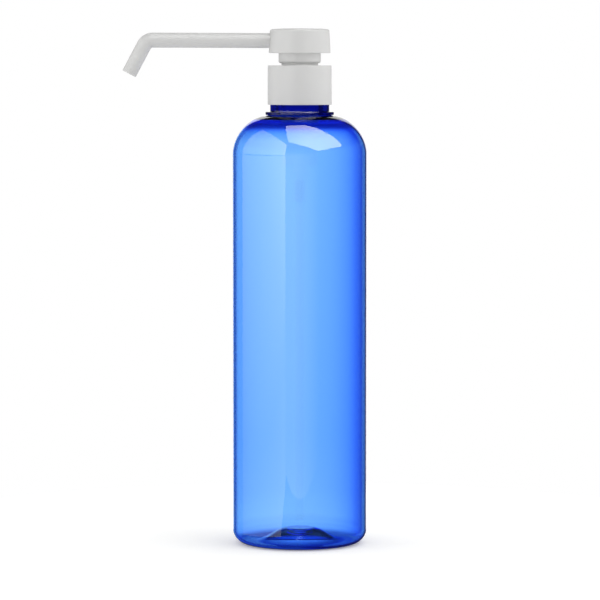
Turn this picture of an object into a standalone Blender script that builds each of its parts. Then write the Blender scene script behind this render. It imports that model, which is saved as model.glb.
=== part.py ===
"""Pump bottle: a tall clear bottle with a screw-on lotion pump, locked down.

Metres, +Z up, spout towards -X. The origin is on the bottle's axis, at the flat disc under the
middle of its pushed-up base. The pump is modelled as shipped: head screwed down, spring compressed.
"""

from math import asin, cos, pi, radians, sin, sqrt

import bmesh
import bpy
from mathutils import Matrix, Vector

# Running and seating clearance between two pieces that touch on the real product
GAP = 0.0003

# Bottle body
BODY_RADIUS = 0.0310
BODY_WALL = 0.0009
BODY_HEIGHT = 0.1808
HEEL_RADIUS = 0.0060
FOOT_WIDTH = 0.0032
PUSH_UP = 0.0050
GATE_RADIUS = 0.0055
BASE_THICKNESS = 0.0022

# Bottle shoulder and neck
SHOULDER_REACH = 0.0230
SHOULDER_DROP = 0.0188
SHOULDER_HEIGHT = 0.0181
SHOULDER_TOP_WALL = 0.0021
RING_WIDTH = 0.002175
RING_THICKNESS = 0.00145
RING_EDGE = 0.0003
NECK_BAND = 0.0060
NECK_ROOT_RADIUS = 0.01255
NECK_WALL = 0.00155
FINISH_HEIGHT = 0.01755
FINISH_EDGE = 0.0003

# Screw thread, 6 turns to the inch
PITCH = 0.0254 / 6
THREAD_DEPTH = 0.001125
THREAD_TURNS = 1.5
THREAD_START = 0.0081
THREAD_BASE = 0.0023
THREAD_CREST = 0.0012
THREAD_FADE = radians(30)
COLLAR_THREAD_TURNS = 1.25
COLLAR_THREAD_BASE = 0.0019
COLLAR_THREAD_CREST = 0.0009
THREAD_ROOTING = 0.0004

# Collar
COLLAR_WALL = 0.000745
COLLAR_FLARE = 0.00008
COLLAR_HEIGHT = 0.0181
COLLAR_ROOF = 0.0010
COLLAR_EDGE = 0.0005

# Gasket and pump housing
GASKET_THICKNESS = 0.0009
FLANGE_THICKNESS = 0.0010
BARREL_BORE_RADIUS = 0.0076
BARREL_WALL = 0.0010
LEDGE_WIDTH = 0.0012
BALL_CHAMBER_WALL = 0.0015
INLET_RADIUS = 0.0015
INLET_LENGTH = 0.0015
TAIL_WALL = 0.0011
TAIL_DEPTH = 0.0100
VENT_RADIUS = 0.0005
VENT_BELOW_PLUG = 0.0030

# Lock ring
LOCK_NECK_RADIUS = 0.0084
LOCK_NECK_HEIGHT = 0.00205
LOCK_RING_RADIUS = 0.00965
LOCK_RING_FLARE = 0.00015
LOCK_RING_HEIGHT = 0.00585
LOCK_RING_CHAMFER = 0.0007
LOCK_PLUG_DEPTH = 0.0087
LOCK_WEB = 0.0018
LOCK_THROAT_RADIUS = 0.0060

# Head and spout
HEAD_RADIUS = 0.01375
HEAD_FLARE = 0.0005
HEAD_HEIGHT = 0.0113
HEAD_COVERS_RING = 0.0012
HEAD_EDGE = 0.0011
HEAD_CROWN = 0.0003
PRESS_FACE_RADIUS = 0.0060
HEAD_WALL = 0.0015
HEAD_ROOF = 0.0024
BOSS_DEPTH = 0.0131
DUCT_RADIUS = 0.0023
SPOUT_RADIUS = 0.00345
SPOUT_BORE_RADIUS = 0.0023
SPOUT_BELOW_TOP = 0.00565
SPOUT_RISE = 0.0003
SPOUT_CORNER = 0.0705
SPOUT_TIP_LENGTH = 0.0175
SPOUT_DROOP = radians(62.0)
SPOUT_BEND_RADIUS = 0.00465

# Stem, rod, piston, spring and inlet valve
STROKE = 0.0140
STEM_RADIUS = 0.0040
STEM_BORE_RADIUS = 0.0026
SOCKET_DEPTH = 0.0162
ROD_WALL = 0.0010
ROD_IN_STEM = 0.0120
ROD_SLIP = 0.0010
ROD_FLANGE_RADIUS = 0.0052
ROD_FLANGE_THICKNESS = 0.0012
ROD_SPIGOT_RADIUS = 0.0030
ROD_SPIGOT_LENGTH = 0.0025
ROD_PORT_RADIUS = 0.00045
PISTON_HEIGHT = 0.0080
PISTON_LIP = 0.0007
PISTON_CUP_DEPTH = 0.0022
PISTON_HUB_WALL = 0.0018
PISTON_WAIST = 0.0006
SPRING_RADIUS = 0.0042
SPRING_WIRE = 0.0009
SPRING_TURNS = 7
SPRING_LENGTH = 0.0090
CAGE_THICKNESS = 0.0016
CAGE_HOLE_RADIUS = 0.0012
CAGE_SLOT_WIDTH = 0.0010
CAGE_SLOTS = 3
BALL_RADIUS = 0.00238
BALL_LIFT = 0.0010
BALL_SIDE_GAP = 0.0005

# Dip tube
TUBE_RADIUS = 0.00215
TUBE_WALL = 0.0007
TUBE_OVER_BASE = 0.0030

# Facets round each turned piece
WIDE_STEPS = 40
NARROW_STEPS = 24
TUBE_STEPS = 12

# Heights of the bottle
foot_z = -PUSH_UP
shoulder_z = foot_z + BODY_HEIGHT
ring_z = shoulder_z + SHOULDER_HEIGHT
ring_top_z = ring_z + RING_THICKNESS
finish_z = ring_top_z + FINISH_HEIGHT

# Heights of the stack on the neck
gasket_z = finish_z + GAP
flange_z = gasket_z + GASKET_THICKNESS + GAP
lock_seat_z = flange_z + FLANGE_THICKNESS + GAP
collar_roof_z = lock_seat_z
collar_top_z = collar_roof_z + COLLAR_ROOF
collar_foot_z = collar_top_z - COLLAR_HEIGHT
lock_ring_z = lock_seat_z + LOCK_NECK_HEIGHT
lock_top_z = lock_ring_z + LOCK_RING_HEIGHT
lock_plug_z = lock_seat_z - LOCK_PLUG_DEPTH
head_z = lock_top_z - HEAD_COVERS_RING
head_top_z = head_z + HEAD_HEIGHT
spout_z = head_top_z - SPOUT_BELOW_TOP
boss_z = head_z - BOSS_DEPTH
socket_top_z = boss_z + SOCKET_DEPTH

# Heights of what moves in the housing, with the piston at the bottom of its stroke
piston_top_z = lock_plug_z - GAP - STROKE
piston_z = piston_top_z - PISTON_HEIGHT
stem_z = piston_top_z + GAP
stem_top_z = socket_top_z - GAP
rod_flange_z = piston_z - ROD_SLIP
rod_foot_z = rod_flange_z - ROD_FLANGE_THICKNESS
rod_top_z = stem_z + ROD_IN_STEM
spring_top_z = rod_foot_z - GAP
spring_z = spring_top_z - SPRING_LENGTH
cage_top_z = spring_z - GAP
cage_z = cage_top_z - CAGE_THICKNESS
ledge_z = cage_z - GAP
ball_z = cage_z - GAP - BALL_LIFT - BALL_RADIUS

# Radii that follow from what a piece goes round or into
neck_radius = NECK_ROOT_RADIUS + THREAD_DEPTH
neck_bore_radius = NECK_ROOT_RADIUS - NECK_WALL
ring_radius = neck_radius + RING_WIDTH
collar_bore_radius = neck_radius + GAP
collar_radius = collar_bore_radius + COLLAR_WALL
collar_crest_radius = NECK_ROOT_RADIUS + GAP
collar_hole_radius = LOCK_NECK_RADIUS + GAP
barrel_radius = BARREL_BORE_RADIUS + BARREL_WALL
flange_radius = NECK_ROOT_RADIUS
gasket_hole_radius = barrel_radius + GAP
lock_plug_radius = BARREL_BORE_RADIUS - GAP
lock_foot_radius = LOCK_RING_RADIUS + LOCK_RING_FLARE
head_foot_radius = HEAD_RADIUS + HEAD_FLARE
stem_hole_radius = STEM_RADIUS + GAP
boss_radius = LOCK_THROAT_RADIUS - GAP
rod_radius = STEM_BORE_RADIUS - GAP
piston_radius = BARREL_BORE_RADIUS - GAP
ball_chamber_radius = BALL_RADIUS + BALL_SIDE_GAP
tail_bore_radius = TUBE_RADIUS + GAP
tail_radius = tail_bore_radius + TAIL_WALL

# The ball's seat is a 45 degree cone that it touches all round, bar the gap
seat_z = ball_z - sqrt(2) * (BALL_RADIUS + GAP) + INLET_RADIUS
seat_top_z = seat_z + ball_chamber_radius - INLET_RADIUS
tail_top_z = seat_z - INLET_LENGTH
tail_z = tail_top_z - TAIL_DEPTH
tube_top_z = tail_top_z - GAP
tube_z = BASE_THICKNESS + TUBE_OVER_BASE


def clear_scene():
    """Removes what a new file starts with."""
    for obj in list(bpy.data.objects):
        bpy.data.objects.remove(obj)


def collection(name):
    """A new collection in the scene."""
    made = bpy.data.collections.new(name)
    bpy.context.scene.collection.children.link(made)
    return made


def material(name, color, roughness, alpha=1.0):
    """A plain finish for one sub-part."""
    made = bpy.data.materials.new(name)
    made.use_nodes = True
    shader = made.node_tree.nodes["Principled BSDF"]
    shader.inputs["Base Color"].default_value = (*color, 1.0)
    shader.inputs["Roughness"].default_value = roughness
    shader.inputs["Alpha"].default_value = alpha
    return made


def add(name, mesh, into, z=0.0):
    """An object on the bottle's axis, at height z."""
    obj = bpy.data.objects.new(name, mesh)
    obj.location.z = z
    into.objects.link(obj)
    return obj


def arc(center, radius, start, end, points):
    """Points of a round stretch of a half-section, from angle start to angle end."""
    r, z = center
    angles = [start + (end - start) * i / (points - 1) for i in range(points)]
    return [(r + radius * cos(a), z + radius * sin(a)) for a in angles]


def turned(name, profile, steps, z=0.0):
    """A closed half-section of (radius, height) points, turned about the axis.

    The section runs down its outer side and back up its inner side.
    """
    mesh = bpy.data.meshes.new(name)
    count = len(profile)
    edges = [(i, (i + 1) % count) for i in range(count)]
    on_axis = [r == 0 for r, _ in profile]
    edges = [(a, b) for a, b in edges if not (on_axis[a] and on_axis[b])]
    mesh.from_pydata([(r, 0.0, h - z) for r, h in profile], edges, [])
    obj = add(name, mesh, parts, z)
    screw = obj.modifiers.new("Turn", "SCREW")
    screw.steps = screw.render_steps = steps
    screw.use_merge_vertices = True
    screw.merge_threshold = 1e-6
    return obj


def as_cutter(obj):
    """Keeps an object as a tool for Booleans, out of the finished model."""
    for group in list(obj.users_collection):
        group.objects.unlink(obj)
    cutters.objects.link(obj)
    obj.hide_render = True
    obj.display_type = "WIRE"
    return obj


def combine(obj, tool, operation):
    """Adds a tool to an object, or cuts it away."""
    boolean = obj.modifiers.new(tool.name, "BOOLEAN")
    boolean.solver = "EXACT"
    boolean.operation = operation
    boolean.object = as_cutter(tool)


def rod_cutter(name, radius, length, z, angle=0.0):
    """A round bar across the axis at height z, turned about it by an angle."""
    mesh = bpy.data.meshes.new(name)
    shape = bmesh.new()
    bmesh.ops.create_cone(
        shape, cap_ends=True, segments=12, radius1=radius, radius2=radius, depth=length
    )
    turn = Matrix.Rotation(angle, 4, "Z") @ Matrix.Rotation(pi / 2, 4, "Y")
    bmesh.ops.transform(shape, matrix=turn, verts=shape.verts)
    shape.to_mesh(mesh)
    shape.free()
    return add(name, mesh, parts, z)


def thread_ridge(name, wall, crest, base_width, crest_width, turns, z):
    """A helical ridge from a wall out to its crest radius, rising with the angle.

    Its four-sided section is lofted along the helix and sinks into the wall at both ends.
    """
    outward = 1 if crest > wall else -1
    rooted = wall - outward * THREAD_ROOTING
    sunk = wall - outward * THREAD_ROOTING / 2
    shape = bmesh.new()
    rings = []
    steps = round(turns * WIDE_STEPS)
    for i in range(steps + 1):
        angle = 2 * pi * i / WIDE_STEPS
        left = min(angle, 2 * pi * turns - angle)
        tip = sunk + (crest - sunk) * min(1.0, left / THREAD_FADE)
        height = PITCH * angle / (2 * pi)
        section = [
            (rooted, -base_width / 2),
            (tip, -crest_width / 2),
            (tip, crest_width / 2),
            (rooted, base_width / 2),
        ]
        rings.append(
            [shape.verts.new((r * cos(angle), r * sin(angle), height + h)) for r, h in section]
        )
    for ring, following in zip(rings, rings[1:]):
        for k in range(4):
            m = (k + 1) % 4
            shape.faces.new((ring[k], ring[m], following[m], following[k]))
    shape.faces.new(rings[0])
    shape.faces.new(rings[-1])
    bmesh.ops.recalc_face_normals(shape, faces=shape.faces)
    mesh = bpy.data.meshes.new(name)
    shape.to_mesh(mesh)
    shape.free()
    return add(name, mesh, parts, z)


def tube_along(name, points, radius, sides_level):
    """A round bar along a path, as a closed mesh."""
    curve = bpy.data.curves.new(name, "CURVE")
    curve.dimensions = "3D"
    curve.bevel_depth = radius
    curve.bevel_resolution = sides_level
    curve.use_fill_caps = True
    spline = curve.splines.new("POLY")
    spline.points.add(len(points) - 1)
    for point, place in zip(spline.points, points):
        point.co = (*place, 1.0)
    drawn = add(name + "_path", curve, parts)
    evaluated = drawn.evaluated_get(bpy.context.evaluated_depsgraph_get())
    mesh = bpy.data.meshes.new_from_object(evaluated)
    bpy.data.objects.remove(drawn)
    shape = bmesh.new()
    shape.from_mesh(mesh)
    bmesh.ops.remove_doubles(shape, verts=shape.verts, dist=1e-6)
    bmesh.ops.recalc_face_normals(shape, faces=shape.faces)
    shape.to_mesh(mesh)
    shape.free()
    mesh.name = name
    return add(name, mesh, parts)


def shoulder(wall, top_wall):
    """The quarter ellipse of the shoulder, from its top down to the straight body.

    It lies inside the outer face by a wall that thickens towards the neck.
    """
    middle = BODY_RADIUS - SHOULDER_REACH
    start = asin((SHOULDER_HEIGHT - GAP) / SHOULDER_DROP)
    points = 9
    section = []
    for i in range(points):
        share = 1 - i / (points - 1)
        inset = wall + (top_wall - wall) * share**2
        angle = start * share
        section.append(
            (
                middle + (SHOULDER_REACH - inset) * cos(angle),
                shoulder_z + (SHOULDER_DROP - inset) * sin(angle),
            )
        )
    return section


def base(thickness, heel, points):
    """Heel, foot and pushed-up dome, from the body's wall in to the axis.

    The thickness is 0 at the outer face. The dome is half a wave that ends in a flat disc.
    """
    radius = BODY_RADIUS - (BODY_WALL if thickness else 0)
    floor = foot_z + (BODY_WALL if thickness else 0)
    section = arc((radius - heel, floor + heel), heel, 0, -pi / 2, points)
    inner = BODY_RADIUS - HEEL_RADIUS - FOOT_WIDTH
    for i in range(points):
        share = i / (points - 1)
        rise = (1 - cos(pi * share)) / 2
        section.append(
            (inner + (GATE_RADIUS - inner) * share, floor + (thickness - floor) * rise)
        )
    section.append((0.0, thickness))
    return section


def make_bottle():
    """One blown piece: the outer face from the neck's top down to the base, then the inner face."""
    outer = [
        (NECK_ROOT_RADIUS - FINISH_EDGE, finish_z),
        (NECK_ROOT_RADIUS, finish_z - FINISH_EDGE),
        (NECK_ROOT_RADIUS, ring_top_z + NECK_BAND),
        (neck_radius, ring_top_z + NECK_BAND - THREAD_DEPTH),
        (neck_radius, ring_top_z),
        (ring_radius - RING_EDGE, ring_top_z),
        (ring_radius, ring_top_z - RING_EDGE),
        (ring_radius, ring_z + RING_EDGE),
        (ring_radius - RING_EDGE, ring_z),
    ]
    outer += shoulder(0.0, 0.0) + base(0.0, HEEL_RADIUS, 6)
    inner = base(BASE_THICKNESS, HEEL_RADIUS - BODY_WALL, 5)[::-1]
    inner += shoulder(BODY_WALL, SHOULDER_TOP_WALL)[::-1]
    inner += [
        (neck_bore_radius, ring_z),
        (neck_bore_radius, finish_z - FINISH_EDGE),
        (neck_bore_radius + FINISH_EDGE, finish_z),
    ]
    bottle = turned("bottle", outer + inner, WIDE_STEPS)
    thread = thread_ridge(
        "neck_thread", NECK_ROOT_RADIUS, neck_radius, THREAD_BASE, THREAD_CREST,
        THREAD_TURNS, ring_top_z + THREAD_START,
    )
    combine(bottle, thread, "UNION")
    return bottle


def make_collar():
    """The screw cap: a smooth skirt with a holed roof, and a thread inside below the neck's."""
    profile = [
        (collar_hole_radius, collar_top_z),
        *arc(
            (collar_radius - COLLAR_EDGE, collar_top_z - COLLAR_EDGE),
            COLLAR_EDGE, pi / 2, 0, 4,
        ),
        (collar_radius + COLLAR_FLARE, collar_foot_z),
        (collar_bore_radius, collar_foot_z),
        (collar_bore_radius, collar_roof_z),
        (collar_hole_radius, collar_roof_z),
    ]
    collar = turned("collar", profile, WIDE_STEPS, collar_foot_z)
    drop = (THREAD_BASE + COLLAR_THREAD_BASE) / 2 - (THREAD_BASE - THREAD_CREST) / 4
    thread = thread_ridge(
        "collar_thread", collar_bore_radius, collar_crest_radius,
        COLLAR_THREAD_BASE, COLLAR_THREAD_CREST, COLLAR_THREAD_TURNS,
        ring_top_z + THREAD_START - drop,
    )
    combine(collar, thread, "UNION")
    return collar


def make_gasket():
    """The washer between the neck's top and the pump's flange."""
    top = gasket_z + GASKET_THICKNESS
    profile = [
        (gasket_hole_radius, top),
        (flange_radius, top),
        (flange_radius, gasket_z),
        (gasket_hole_radius, gasket_z),
    ]
    return turned("neck_gasket", profile, WIDE_STEPS, gasket_z)


def make_housing():
    """The flanged cylinder with the ball's seat and the dip tube's socket below it."""
    flange_top = flange_z + FLANGE_THICKNESS
    wall = ball_chamber_radius + BALL_CHAMBER_WALL
    profile = [
        (BARREL_BORE_RADIUS, flange_top),
        (flange_radius, flange_top),
        (flange_radius, flange_z),
        (barrel_radius, flange_z),
        (barrel_radius, ledge_z),
        (barrel_radius - LEDGE_WIDTH, ledge_z - LEDGE_WIDTH),
        (wall, ledge_z - LEDGE_WIDTH),
        (wall, tail_top_z + wall - tail_radius),
        (tail_radius, tail_top_z),
        (tail_radius, tail_z),
        (tail_bore_radius, tail_z),
        (tail_bore_radius, tail_top_z),
        (INLET_RADIUS, tail_top_z),
        (INLET_RADIUS, seat_z),
        (ball_chamber_radius, seat_top_z),
        (ball_chamber_radius, ledge_z),
        (BARREL_BORE_RADIUS, ledge_z),
    ]
    housing = turned("pump_housing", profile, NARROW_STEPS, flange_z)
    vent = rod_cutter("vent", VENT_RADIUS, 2 * barrel_radius, lock_plug_z - VENT_BELOW_PLUG)
    vent.location.x = barrel_radius
    combine(housing, vent, "DIFFERENCE")
    return housing


def make_lock_ring():
    """The visible ring, its neck through the collar's roof, and its plug in the housing."""
    web_top = lock_plug_z + LOCK_WEB
    profile = [
        (LOCK_THROAT_RADIUS, lock_top_z),
        (LOCK_RING_RADIUS, lock_top_z),
        (lock_foot_radius, lock_ring_z + LOCK_RING_CHAMFER),
        (lock_foot_radius - LOCK_RING_CHAMFER, lock_ring_z),
        (LOCK_NECK_RADIUS, lock_ring_z),
        (LOCK_NECK_RADIUS, lock_seat_z),
        (lock_plug_radius, lock_seat_z),
        (lock_plug_radius, lock_plug_z),
        (stem_hole_radius, lock_plug_z),
        (stem_hole_radius, web_top),
        (LOCK_THROAT_RADIUS, web_top),
    ]
    return turned("lock_ring", profile, NARROW_STEPS, lock_seat_z)


def spout_path(before, beyond):
    """The spout's centre line: out along -X, round the bend and down the tip.

    It starts before the axis by one length and runs beyond the tip's face by another.
    """
    corner = Vector((-SPOUT_CORNER, 0.0, spout_z + SPOUT_RISE))
    start = Vector((0.0, 0.0, spout_z))
    along = (corner - start).normalized()
    down = Vector((-cos(SPOUT_DROOP), 0.0, -sin(SPOUT_DROOP)))
    turn = along.angle(down)
    tangent = SPOUT_BEND_RADIUS * sin(turn / 2) / cos(turn / 2)
    bend_start = corner - along * tangent
    across = Vector((-along.z, 0.0, along.x)).normalized()
    center = bend_start + across * SPOUT_BEND_RADIUS
    steps = 8
    bend = [
        center - across * SPOUT_BEND_RADIUS * cos(turn * i / steps)
        + along * SPOUT_BEND_RADIUS * sin(turn * i / steps)
        for i in range(steps + 1)
    ]
    return [start - along * before, *bend, corner + down * (SPOUT_TIP_LENGTH + beyond)]


def make_actuator():
    """The head and spout, one moulding: a hollow disc with a central boss, and a bored tube."""
    roof_z = head_top_z - HEAD_CROWN - HEAD_ROOF
    inner_radius = head_foot_radius - HEAD_WALL
    edge_z = head_top_z - HEAD_CROWN - HEAD_EDGE
    profile = [
        (0.0, head_top_z),
        (PRESS_FACE_RADIUS, head_top_z),
        *arc((HEAD_RADIUS - HEAD_EDGE, edge_z), HEAD_EDGE, pi / 2, 0, 5),
        (head_foot_radius, head_z),
        (inner_radius, head_z),
        (HEAD_RADIUS - HEAD_WALL, roof_z),
        (boss_radius, roof_z),
        (boss_radius, boss_z),
        (stem_hole_radius, boss_z),
        (stem_hole_radius, socket_top_z),
        (DUCT_RADIUS, socket_top_z),
        (DUCT_RADIUS, spout_z + DUCT_RADIUS),
        (0.0, spout_z + DUCT_RADIUS),
    ]
    actuator = turned("actuator", profile, WIDE_STEPS)
    wall = (boss_radius + DUCT_RADIUS) / 2
    spout = tube_along("spout", spout_path(-wall, 0.0), SPOUT_RADIUS, 6)
    bore = tube_along("spout_bore", spout_path(0.0, SPOUT_RADIUS), SPOUT_BORE_RADIUS, 5)
    combine(actuator, spout, "UNION")
    combine(actuator, bore, "DIFFERENCE")
    return actuator


def make_stem():
    """The hollow tube between the head and the piston."""
    profile = [
        (STEM_BORE_RADIUS, stem_top_z),
        (STEM_RADIUS, stem_top_z),
        (STEM_RADIUS, stem_z),
        (STEM_BORE_RADIUS, stem_z),
    ]
    return turned("stem", profile, NARROW_STEPS, stem_z)


def make_rod():
    """The hollow rod inside the stem, with cross ports over its flange and a spigot in the spring."""
    bore = rod_radius - ROD_WALL
    spigot_z = rod_foot_z - ROD_SPIGOT_LENGTH
    profile = [
        (bore, rod_top_z),
        (rod_radius, rod_top_z),
        (rod_radius, rod_flange_z),
        (ROD_FLANGE_RADIUS, rod_flange_z),
        (ROD_FLANGE_RADIUS, rod_foot_z),
        (ROD_SPIGOT_RADIUS, rod_foot_z),
        (ROD_SPIGOT_RADIUS, spigot_z),
        (0.0, spigot_z),
        (0.0, rod_flange_z - GAP),
        (bore, rod_flange_z - GAP),
    ]
    rod = turned("piston_rod", profile, NARROW_STEPS, rod_foot_z)
    port_z = rod_flange_z + ROD_SLIP / 2
    ports = rod_cutter("rod_ports", ROD_PORT_RADIUS, 3 * rod_radius, port_z, pi / NARROW_STEPS)
    combine(rod, ports, "DIFFERENCE")
    return rod


def make_piston():
    """The seal: a hub on the rod between two cups whose lips wipe the barrel."""
    hole = rod_radius + GAP
    hub = hole + PISTON_HUB_WALL
    lip = piston_radius - PISTON_LIP
    waist = piston_radius - PISTON_WAIST
    profile = [
        (hole, piston_top_z),
        (hub, piston_top_z),
        (hub, piston_top_z - PISTON_CUP_DEPTH),
        (lip, piston_top_z - PISTON_CUP_DEPTH),
        (lip, piston_top_z),
        (piston_radius, piston_top_z),
        (waist, piston_top_z - PISTON_CUP_DEPTH),
        (waist, piston_z + PISTON_CUP_DEPTH),
        (piston_radius, piston_z),
        (lip, piston_z),
        (lip, piston_z + PISTON_CUP_DEPTH),
        (hub, piston_z + PISTON_CUP_DEPTH),
        (hub, piston_z),
        (hole, piston_z),
    ]
    return turned("piston", profile, NARROW_STEPS, piston_z)


def make_spring():
    """The compressed coil: a helix of wire whose ends stay clear of the rod and the cage."""
    per_turn = 12
    steps = SPRING_TURNS * per_turn
    rise = SPRING_LENGTH - SPRING_WIRE
    low = spring_z + SPRING_WIRE / 2
    points = []
    for i in range(steps + 1):
        angle = 2 * pi * i / per_turn
        height = low + rise * i / steps
        points.append((SPRING_RADIUS * cos(angle), SPRING_RADIUS * sin(angle), height))
    return tube_along("spring", points, SPRING_WIRE / 2, 2)


def make_cage():
    """The disc that carries the spring, with a star-shaped hole too small for the ball."""
    profile = [
        (CAGE_HOLE_RADIUS, cage_top_z),
        (piston_radius, cage_top_z),
        (piston_radius, cage_z),
        (CAGE_HOLE_RADIUS, cage_z),
    ]
    cage = turned("ball_cage", profile, NARROW_STEPS, cage_z)
    middle = (cage_top_z + cage_z) / 2
    for i in range(CAGE_SLOTS):
        name = "cage_slot_%d" % (i + 1)
        mesh = bpy.data.meshes.new(name)
        shape = bmesh.new()
        bmesh.ops.create_cube(shape, size=1.0)
        length = ball_chamber_radius
        place = (
            Matrix.Rotation(2 * pi * i / CAGE_SLOTS, 4, "Z")
            @ Matrix.Translation((length / 2, 0, 0))
            @ Matrix.Diagonal((length, CAGE_SLOT_WIDTH, 2 * CAGE_THICKNESS, 1))
        )
        bmesh.ops.transform(shape, matrix=place, verts=shape.verts)
        shape.to_mesh(mesh)
        shape.free()
        combine(cage, add(name, mesh, parts, middle), "DIFFERENCE")
    return cage


def make_ball():
    """The inlet valve's ball, on its seat."""
    bpy.ops.mesh.primitive_uv_sphere_add(
        segments=16, ring_count=10, radius=BALL_RADIUS, location=(0, 0, ball_z)
    )
    ball = bpy.context.object
    ball.name = ball.data.name = "inlet_ball"
    for group in list(ball.users_collection):
        group.objects.unlink(ball)
    parts.objects.link(ball)
    return ball


def make_dip_tube():
    """The tube from the housing's socket to just over the middle of the base."""
    bore = TUBE_RADIUS - TUBE_WALL
    profile = [
        (bore, tube_top_z),
        (TUBE_RADIUS, tube_top_z),
        (TUBE_RADIUS, tube_z),
        (bore, tube_z),
    ]
    return turned("dip_tube", profile, TUBE_STEPS, tube_z)


def settle_mesh(obj):
    """Applies the modifiers and shades the round faces smooth, with sharp edges kept."""
    evaluated = obj.evaluated_get(bpy.context.evaluated_depsgraph_get())
    mesh = bpy.data.meshes.new_from_object(evaluated)
    obj.modifiers.clear()
    obj.data = mesh
    mesh.name = obj.name
    mesh.shade_smooth()
    mesh.set_sharp_from_angle(angle=radians(30))


def carry(parent, *children):
    """Makes pieces move with the piece that carries them; every axis is the bottle's own."""
    for child in children:
        child.parent = parent
        child.matrix_parent_inverse = Matrix.Translation(parent.location).inverted()


clear_scene()
parts = collection("pump_bottle")
cutters = collection("cutters")

clear_blue = material("clear_blue_pet", (0.02, 0.14, 0.90), 0.05, 0.35)
off_white = material("off_white_pp", (0.62, 0.62, 0.61), 0.45)
natural = material("natural_pp", (0.78, 0.80, 0.82), 0.35, 0.6)
soft_white = material("soft_pe", (0.80, 0.80, 0.78), 0.50)
steel = material("spring_steel", (0.60, 0.60, 0.58), 0.25)
steel.node_tree.nodes["Principled BSDF"].inputs["Metallic"].default_value = 1.0
glass_ball = material("ball_glass", (0.85, 0.90, 0.88), 0.05, 0.5)

bottle = make_bottle()
collar = make_collar()
gasket = make_gasket()
housing = make_housing()
lock_ring = make_lock_ring()
actuator = make_actuator()
stem = make_stem()
rod = make_rod()
piston = make_piston()
spring = make_spring()
cage = make_cage()
ball = make_ball()
dip_tube = make_dip_tube()

finishes = {
    clear_blue: [bottle],
    off_white: [collar, lock_ring, actuator],
    natural: [housing, dip_tube, stem, rod, cage],
    soft_white: [gasket, piston],
    steel: [spring],
    glass_ball: [ball],
}
for finish, pieces in finishes.items():
    for piece in pieces:
        settle_mesh(piece)
        piece.data.materials.clear()
        piece.data.materials.append(finish)

carry(bottle, housing)
carry(housing, collar, gasket, lock_ring, spring, cage, ball, dip_tube, piston)
carry(piston, stem, rod, actuator)
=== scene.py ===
"""Looks for the pump bottle: clear cobalt-blue PET with an off-white lotion pump.

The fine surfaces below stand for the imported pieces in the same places. Metres, +Z up, spout to -X.
"""

import bpy
import numpy as np
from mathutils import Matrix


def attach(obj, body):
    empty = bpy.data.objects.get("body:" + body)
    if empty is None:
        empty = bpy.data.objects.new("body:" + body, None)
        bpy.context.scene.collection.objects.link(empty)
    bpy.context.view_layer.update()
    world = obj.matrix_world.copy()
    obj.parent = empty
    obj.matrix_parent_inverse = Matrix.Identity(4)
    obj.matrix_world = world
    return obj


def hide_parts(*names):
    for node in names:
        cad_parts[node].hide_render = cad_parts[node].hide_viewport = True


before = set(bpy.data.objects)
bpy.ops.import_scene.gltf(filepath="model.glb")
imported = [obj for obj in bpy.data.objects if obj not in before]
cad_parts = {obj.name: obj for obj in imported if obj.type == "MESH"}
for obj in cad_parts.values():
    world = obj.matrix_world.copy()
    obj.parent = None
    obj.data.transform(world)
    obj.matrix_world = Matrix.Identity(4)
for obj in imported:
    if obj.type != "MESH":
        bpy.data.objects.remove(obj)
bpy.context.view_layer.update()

# Sizes below are in millimetres, shown in metres
MM = 0.001

# Facets round the axis, and the angle from which an edge is drawn sharp
ROUND = 192
SMALL_ROUND = 96
TUBE_ROUND = 48
SHARP = np.radians(32)

# Heights over the flat disc under the base
FOOT_Z = -5.0
SHOULDER_Z = 175.8
RING_Z = 193.9
RING_TOP_Z = 195.35
FINISH_Z = 212.9
GASKET_Z = 213.2
FLANGE_Z = 214.4
SEAT_Z = 215.7
COLLAR_TOP_Z = 216.7
COLLAR_FOOT_Z = 198.6
LOCK_RING_Z = 217.75
LOCK_TOP_Z = 223.6
HEAD_Z = 222.4
HEAD_TOP_Z = 233.7
SPOUT_Z = 228.05
THREAD_Z = 203.45
SOCKET_TOP_Z = 163.83
HOUSING_FLOOR_Z = 171.0
ROD_FLANGE_Z = 182.5
SEAL_FOOT_Z = 184.7
SEAL_TOP_Z = 192.7
PITCH = 25.4 / 6

# Bottle
BODY_RADIUS = 31.0
WALL = 0.9
HEEL = 6.8
DOME_FOOT = 21.8
DISC = 5.5
DISC_INNER_Z = 2.2
SHOULDER_ACROSS = 23.0
SHOULDER_UP = 18.8
SHOULDER_REACH = 17.8
RING_RADIUS = 15.85
ROOT_RADIUS = 13.675
NECK_RADIUS = 12.55
BORE = 11.0

# Collar, pump and head
SKIRT_BORE = 13.975
THREAD_DEPTH = 1.125
HOUSING_RADIUS = 8.6
HOUSING_BORE = 7.6
LOCK_BORE = 6.0
STEM_RADIUS = 4.0
STEM_BORE = 2.6
HEAD_ROUND = 13.75
CROWN_FLAT = 6.0
SPOUT_RADIUS = 3.45
SPOUT_BORE = 2.3
BEND_RADIUS = 4.65
CAGE_HOLE = 1.2
BALL_RADIUS = 2.38


# Shapes


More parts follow.
